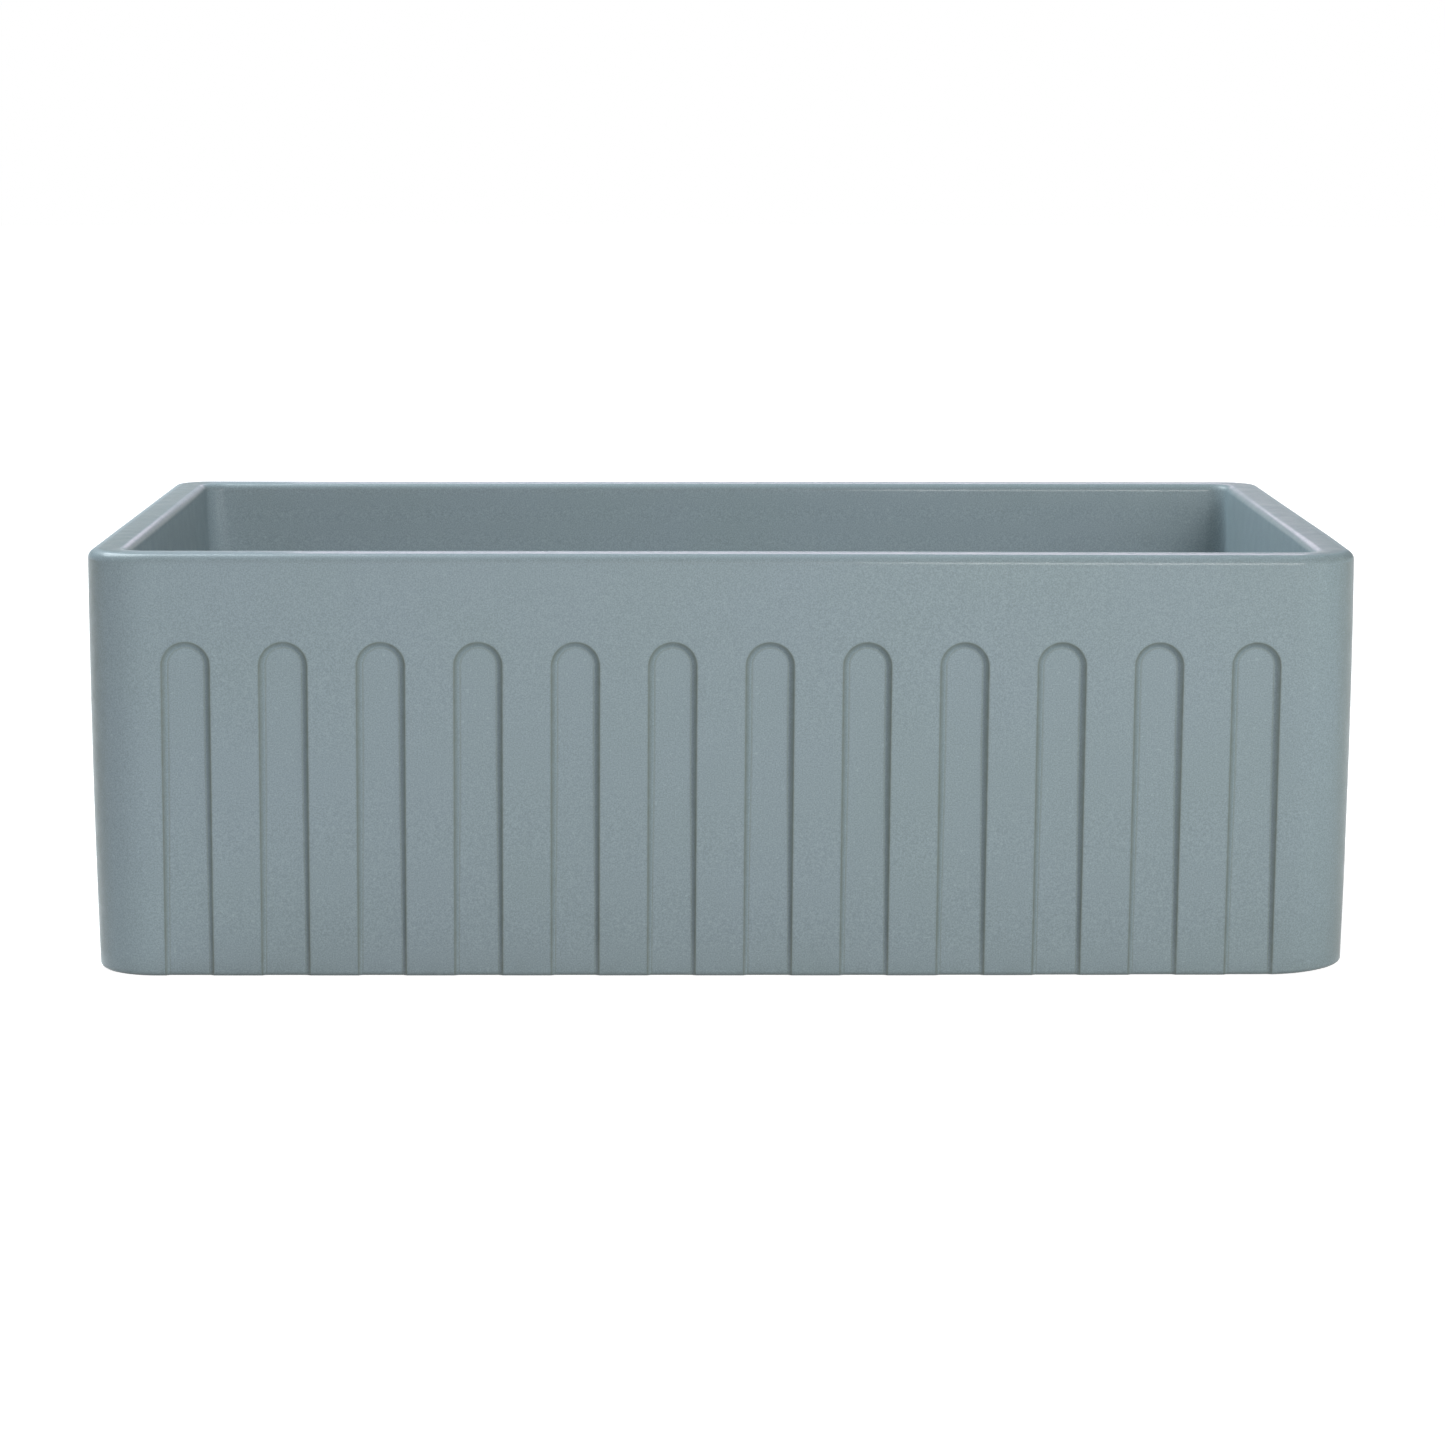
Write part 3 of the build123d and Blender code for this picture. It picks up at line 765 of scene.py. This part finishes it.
# ---- finishes -----------------------------------------------------------------------------------
def glaze_finish(colours):
    """Satin blue-grey glaze: mottled, finely speckled, darker where the glaze runs thin on its edges, and
    with painted shade on its corners, rim sides and creases.
    """
    f = Finish("fireclay_glaze", Coat_Roughness=0.09, Coat_IOR=1.35, IOR=1.25)
    base = Vector(colours.glaze)
    cool, mossy = base * 1.01, Vector((base.x * 0.985, base.y, base.z * 0.965))
    across = f.node("ShaderNodeSeparateXYZ", {}, {0: f.place()}, "X")
    drift = f.noise(0.075, 3.0) - 0.35 * across
    body = f.blend(f.ramp(drift, (0.3, 0.0), (0.7, 1.0)), tuple(mossy), tuple(cool))
    cloud = f.ramp(f.noise(0.013, 2.0, offset=(0.3, 0.1, 0.7)), (0.3, 0.0), (0.7, 1.0))
    body = f.blend(cloud * 0.2, body, tuple(base * 0.95))
    grain = f.noise(0.0008, 1.0)
    body = f.blend(f.ramp(grain, (0.3, 0.5), (0.5, 0.0)), body, tuple(base * 0.72))
    body = f.blend(f.ramp(grain, (0.5, 0.0), (0.7, 0.5)), body, tuple(base * 1.3))
    dots = f.ramp(f.noise(0.0021, 0.0, offset=(0.5, 0.9, 0.2)), (0.79, 0.0), (0.84, 1.0))
    body = f.blend(dots * 0.25, body, tuple(base * 1.6))
    mark = f.painted("mark")
    # the mark darkens the glaze: thin glaze on edges such as the flutes' lips and the rim's roundings,
    # painted shade on the front corners, the rim's sides and the flutes' feet, and a darker band along the
    # foot
    edge = f.ramp(mark, (0.0, 0.0), (1.0, 1.0))
    ragged = f.noise(0.006, 3.0)
    body = f.blend(edge * (0.5 + 0.7 * ragged), body, tuple(colours.glaze_edge))
    bare = f.ramp(0.0 - mark, (0.05, 0.0), (0.2, 1.0))
    clay = f.blend(cloud, tuple(colours.clay), tuple(Vector(colours.clay) * 0.88))
    clay = f.blend(f.ramp(grain, (0.3, 0.6), (0.48, 0.0)), clay, tuple(Vector(colours.clay) * 0.6))
    body = f.blend(bare, body, clay)
    rough = 0.4 + 0.1 * cloud + 0.4 * bare
    orange_peel = f.noise(0.016, 1.0) + 0.04 * f.noise(0.0017, 1.5)
    grit = bare * f.noise(0.0012, 3.0)
    return f.done(
        Base_Color=body,
        Roughness=rough,
        Coat_Weight=0.25 - 0.25 * bare,
        Normal=f.bump(orange_peel + grit * 0.5, 0.022, 0.0004),
    )


def shaded(base, share):
    """A colour made darker or lighter."""
    return tuple(min(1.0, part * share) for part in base)


def steel_finish(name, base, rough, stretch=(1.0, 1.0, 1.0)):
    """Metal with fine marks from polishing and a slight change of tone."""
    f = Finish(name, Metallic=1.0)
    cloud = f.noise(0.012, 3.0)
    fine = f.noise(0.0007, 2.0, stretch)
    tone = f.blend(cloud, shaded(base, 0.9), shaded(base, 1.06))
    level = rough * (0.75 + 0.5 * cloud) + 0.08 * fine
    return f.done(Base_Color=tone, Roughness=level, Normal=f.bump(fine, 0.12, 0.00008))


def soft_finish(name, base, rough, grain=0.0009, strength=0.35):
    """Rubber, fibre, putty or plastic: a fine grain and a faint bloom."""
    f = Finish(name)
    cloud = f.noise(0.01, 3.0)
    fine = f.noise(grain, 3.0)
    tone = f.blend(cloud * 0.6 + fine * 0.3, shaded(base, 0.82), shaded(base, 1.12))
    level = rough + 0.12 * cloud
    return f.done(Base_Color=tone, Roughness=level, Normal=f.bump(fine, strength, 0.00012))


def finishes():
    """Every finish, made once and kept by name."""
    colours = bpy.context.scene.sink_colours
    if "fireclay_glaze" not in bpy.data.materials:
        glaze_finish(colours)
        steel_finish("satin_steel", colours.steel, 0.24, (1.0, 1.0, 14.0))
        steel_finish("bright_chrome", colours.chrome, 0.09)
        steel_finish("spring_steel", colours.steel, 0.18)
        steel_finish("zinc_plate", colours.zinc, 0.38)
        soft_finish("black_rubber", colours.rubber, 0.55)
        soft_finish("pressed_fibre", colours.fibre, 0.85, 0.0005, 0.6)
        soft_finish("bedding_putty", colours.putty, 0.7, 0.002, 0.5)
        soft_finish("washer_plastic", colours.plastic, 0.4)
    return bpy.data.materials


def dress(piece, finish):
    piece.data.materials.clear()
    piece.data.materials.append(finishes()[finish])


def stand_for(piece, body, node, finish):
    """Puts a finished piece in the place of a CAD node."""
    dress(piece, finish)
    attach(piece, body)
    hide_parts(node)


# ---- drain pieces -------------------------------------------------------------------------------
def thread(low, high, pitch, depth, radius):
    """How far a thread's flank stands in from its crest, at a height and angle."""

    def ripple(r, z, angle):
        if abs(r - radius) > 0.01 or not low <= z <= high:
            return 0.0
        turn = (z - low) / pitch - angle / (2 * pi)
        wave = abs((turn % 1.0) * 2.0 - 1.0)
        fade = min(1.0, (z - low) / pitch, (high - z) / pitch)
        return -depth * fade * min(1.0, max(0.0, 1.6 * wave - 0.3))

    return ripple


def wall_points(radius, start, end, step):
    count = max(2, int(abs(end - start) / step))
    return [(radius, start + (end - start) * k / count) for k in range(1, count)]


def build_strainer_body():
    profile = rounded(
        [
            (19.5, -36.5, 0.3), (19.5, -26.0, 1.5), (28.0, -20.3, 1.5), (36.2, -20.3, 0.8),
            (39.0, -17.3, 1.5), (39.0, 17.4, 0.4), (42.7, 17.4, 0.3), (42.7, 18.7, 0.5),
            (51.5, 20.5, 4.0), (55.6, 20.5, 0.9), (57.0, 19.2, 0.5), (57.0, 18.5, 0.2),
            (44.0, 18.5, 0.0), (44.0, 14.5, 0.4), (42.5, 14.0, 0.0),
        ]
    )
    profile += wall_points(42.5, 14.0, -19.5, 0.35)
    profile += [(42.5, -20.0), (41.0, -22.0), (39.5, -23.0), (31.5, -23.0), (30.2, -23.2), (24.2, -26.0)]
    profile += wall_points(23.9, -26.6, -36.2, 0.3)
    profile += [(23.9, -36.2), (23.5, -36.5)]
    main = thread(-19.5, 12.0, 2.4, 0.9, 42.5)
    spud = thread(-36.2, -27.0, 2.2, 0.8, 23.9)
    return lathe("strainer_cup", profile, 120, lambda r, z, a: main(r, z, a) + spud(r, z, a), 40.0)


def build_basket():
    top, foot, sheet = 18.7, -6.2, 1.0
    hole_radius, hole_sides = 1.55, 20
    slot_count, slot_sides, slot_level, slot_half_width, slot_half_run = 24, 24, 7.0, 1.3, 4.6
    floor = foot + sheet
    outer = [(4.6, foot, 0.0), (31.5, foot, 4.2), (37.9, 16.6, 0.8), (38.6, 17.7, 0.0), (41.9, 17.7, 0.3)]
    inner = [(42.3, 18.3, 0.3), (41.7, top, 0.3), (37.9, 18.6, 1.5), (30.6, floor, 3.4), (4.6, floor, 0.0)]
    profile = rounded(outer + inner, 6)
    profile.reverse()
    basket = lathe("perforated_basket", profile, 144)
    holes = Skin()
    for ring_radius, count in ((12.2, 8), (17.2, 12), (22.2, 16), (27.0, 20)):
        for i in range(count):
            angle = 2 * pi * (i + 0.5 * (count % 8 == 4)) / count
            x, y = ring_radius * cos(angle), ring_radius * sin(angle)
            below, above = (ring_points(x, y, hole_radius, z, hole_sides) for z in (foot - 2, foot + 3))
            add_bar(holes, below, above)
    slots = Skin()
    for i in range(slot_count):
        angle = 2 * pi * (i + 0.5) / slot_count
        out = Vector((cos(angle), sin(angle), 0.0))
        side = Vector((-sin(angle), cos(angle), 0.0))
        shape = []
        for k in range(slot_sides):
            turn = 2 * pi * k / slot_sides
            run = slot_half_run if sin(turn) > 0 else -slot_half_run
            z = slot_level + slot_half_width * sin(turn) + run
            shape.append(side * (slot_half_width * cos(turn)) + Vector((0.0, 0.0, z)))
        add_bar(slots, [tuple(out * 26.0 + p) for p in shape], [tuple(out * 44.0 + p) for p in shape])
    cut(basket, (holes.build("holes"), slots.build("slots")))
    return basket


def build_knob():
    profile = rounded(
        [
            (2.52, 4.5, 0.0), (4.6, 4.5, 0.4), (4.9, 7.0, 1.0), (5.2, 9.3, 2.4), (8.2, 11.2, 0.6),
            (9.0, 11.9, 0.6), (9.0, 13.0, 0.8), (8.4, 14.2, 1.2), (5.4, 16.0, 5.0), (0.01, 16.5, 0.0),
            (0.01, 12.6, 0.0), (2.52, 12.6, 0.0),
        ]
    )
    profile.reverse()
    return lathe("pull_knob", profile, 64)


# ---- operators ----------------------------------------------------------------------------------
class SINK_OT_basin(bpy.types.Operator):
    """Builds the glazed basin in place of its plain solid"""

    bl_idname = "sink.basin"
    bl_label = "Glazed basin"

    def execute(self, context):
        basin = build_basin(context.scene.sink_basin)
        stand_for(basin, "sink", "basin", "fireclay_glaze")
        return {"FINISHED"}


class SINK_OT_strainer(bpy.types.Operator):
    """Builds the strainer's threaded cup and finishes what clamps it"""

    bl_idname = "sink.strainer"
    bl_label = "Strainer and nuts"

    def execute(self, context):
        stand_for(build_strainer_body(), "sink", "strainer_body", "satin_steel")
        for node, finish in (
            ("flange_putty", "bedding_putty"),
            ("rubber_gasket", "black_rubber"),
            ("friction_ring", "pressed_fibre"),
            ("lock_nut", "zinc_plate"),
            ("coupling_nut", "zinc_plate"),
            ("tailpiece_washer", "washer_plastic"),
        ):
            dress(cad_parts[node], finish)
        return {"FINISHED"}


class SINK_OT_basket(bpy.types.Operator):
    """Builds the perforated basket and finishes its hub"""

    bl_idname = "sink.basket"
    bl_label = "Basket"

    def execute(self, context):
        stand_for(build_basket(), "basket", "basket", "satin_steel")
        dress(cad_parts["basket_hub"], "bright_chrome")
        dress(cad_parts["detent_ring"], "spring_steel")
        return {"FINISHED"}


class SINK_OT_stopper(bpy.types.Operator):
    """Builds the knob and finishes the stopper"""

    bl_idname = "sink.stopper"
    bl_label = "Stopper"

    def execute(self, context):
        stand_for(build_knob(), "stopper", "lift_knob", "bright_chrome")
        for node, finish in (
            ("stopper_rod", "spring_steel"),
            ("stopper_plate", "satin_steel"),
            ("stopper_seal", "black_rubber"),
            ("seal_washer", "spring_steel"),
            ("retaining_nut", "spring_steel"),
        ):
            dress(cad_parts[node], finish)
        return {"FINISHED"}


LAMPS = (
    # name, place, width and height, power, colour
    ("behind_left", (-1.5, 1.0, 2.65), (1.8, 1.8), 144.0, (0.86, 0.95, 1.0)),
    ("front", (0.85, -3.6, 1.2), (1.2, 1.2), 85.0, (1.0, 0.985, 0.975)),
    ("front_right", (2.2, -1.9, 0.6), (1.0, 1.0), 14.0, (0.9, 1.0, 0.95)),
    ("right", (3.0, 0.6, 1.3), (1.4, 1.4), 7.0, (0.9, 1.0, 0.88)),
    ("far", (0.2, 5.0, 1.6), (2.0, 0.95), 16.0, (1.0, 0.84, 0.98)),
)
ROOM_LIGHT = 0.14  # the even light that comes from all round
LAMPS_AIM = (0.0, 0.0, 0.12)
CAMERA_PLACE = (-0.02057, -2.54705, 0.51871)
CAMERA_ANGLES = (8.9374, 0.513, 0.103)  # degrees down, to the right, and of roll
CAMERA_LENS = 98.9


class SINK_OT_stage(bpy.types.Operator):
    """Sets up the floor, the lamps, the world and the camera"""

    bl_idname = "sink.stage"
    bl_label = "Stage"

    def execute(self, context):
        scene = context.scene
        scene.view_settings.view_transform = "Standard"
        make_floor()
        for lamp in LAMPS:
            make_lamp(*lamp)
        make_world(scene)
        make_camera(scene)
        return {"FINISHED"}


def make_floor():
    """A wide floor with an opening under the basin, where the strainer hangs through."""
    skin = Skin()
    level, steps = -0.3, 64
    radii = (62.0, 90.0, 300.0, 1500.0, 14000.0)
    rings = [skin.row(ring_points(0.0, 0.0, radius, level, steps)) for radius in radii]
    for near, far in zip(rings, rings[1:]):
        skin.strip(far, near, closed=True)
    floor = skin.build("floor")
    f = Finish("pale_floor", Roughness=0.9, Specular_IOR_Level=0.1, Emission_Strength=1.0)
    spot = f.node("ShaderNodeVectorMath", {"operation": "LENGTH"}, {0: f.place()}, "Value")
    white = f.ramp(spot * 0.1, (0.08, 0.93), (0.4, 1.0))
    glow = f.blend(f.seen(), (0.0, 0.0, 0.0), white)
    floor.data.materials.append(f.done(Base_Color=(0.5, 0.5, 0.5), Emission_Color=glow))


def make_lamp(name, place, size, power, colour):
    data = bpy.data.lights.new(name, "AREA")
    data.shape = "RECTANGLE"
    data.size, data.size_y = size
    data.energy = power
    data.color = colour
    lamp = bpy.data.objects.new(name, data)
    lamp.location = place
    lamp.rotation_euler = (Vector(LAMPS_AIM) - Vector(place)).to_track_quat("-Z", "Y").to_euler()
    bpy.context.collection.objects.link(lamp)


def make_world(scene):
    """Even light for the object, and a backdrop that is white low down and greyer higher up."""
    world = bpy.data.worlds.new("studio")
    world.use_nodes = True
    n = Nodes(world.node_tree)
    toward = n.node("ShaderNodeTexCoord", {}, {}, "Generated")
    height = n.node("ShaderNodeSeparateXYZ", {}, {"Vector": toward}, "Z")
    backdrop = n.ramp(height, (0.03, 1.0), (0.15, 0.2))
    light = n.node("ShaderNodeBackground", {}, {"Color": (ROOM_LIGHT,) * 3})
    shown = n.node("ShaderNodeBackground", {}, {"Color": backdrop})
    mixed = n.node("ShaderNodeMixShader", {}, {0: n.seen(), 1: light, 2: shown})
    n.fill(n.tree.nodes["World Output"].inputs["Surface"], mixed)
    scene.world = world


def make_camera(scene):
    data = bpy.data.cameras.new("camera")
    data.sensor_width = 36.0
    data.lens = CAMERA_LENS
    data.clip_end = 100.0
    camera = bpy.data.objects.new("camera", data)
    pitch, yaw, roll = (radians(angle) for angle in CAMERA_ANGLES)
    turn = Matrix.Rotation(-yaw, 4, "Z") @ Matrix.Rotation(pi / 2 - pitch, 4, "X")
    turn = turn @ Matrix.Rotation(roll, 4, "Z")
    camera.matrix_world = Matrix.Translation(CAMERA_PLACE) @ turn
    bpy.context.collection.objects.link(camera)
    scene.camera = camera


class SINK_PT_sidebar(bpy.types.Panel):
    """Lists the sink's settings and what builds its pieces"""

    bl_idname = "SINK_PT_sidebar"
    bl_label = "Fluted Apron Sink"
    bl_space_type = "VIEW_3D"
    bl_region_type = "UI"
    bl_category = "Sink"

    def draw(self, context):
        column = self.layout.column()
        for settings in (context.scene.sink_basin, context.scene.sink_colours):
            for name in type(settings).__annotations__:
                column.prop(settings, name)
        for operator in OPERATORS:
            column.operator(operator.bl_idname)


OPERATORS = (SINK_OT_basin, SINK_OT_strainer, SINK_OT_basket, SINK_OT_stopper, SINK_OT_stage)
CLASSES = (SinkBasinSettings, SinkColourSettings, *OPERATORS, SINK_PT_sidebar)


def register():
    for cls in CLASSES:
        bpy.utils.register_class(cls)
    bpy.types.Scene.sink_basin = PointerProperty(type=SinkBasinSettings)
    bpy.types.Scene.sink_colours = PointerProperty(type=SinkColourSettings)


def unregister():
    del bpy.types.Scene.sink_colours
    del bpy.types.Scene.sink_basin
    for cls in reversed(CLASSES):
        bpy.utils.unregister_class(cls)


def main():
    register()
    bpy.ops.sink.basin()
    bpy.ops.sink.strainer()
    bpy.ops.sink.basket()
    bpy.ops.sink.stopper()
    bpy.ops.sink.stage()
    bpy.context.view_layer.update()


if __name__ == "__main__":
    main()
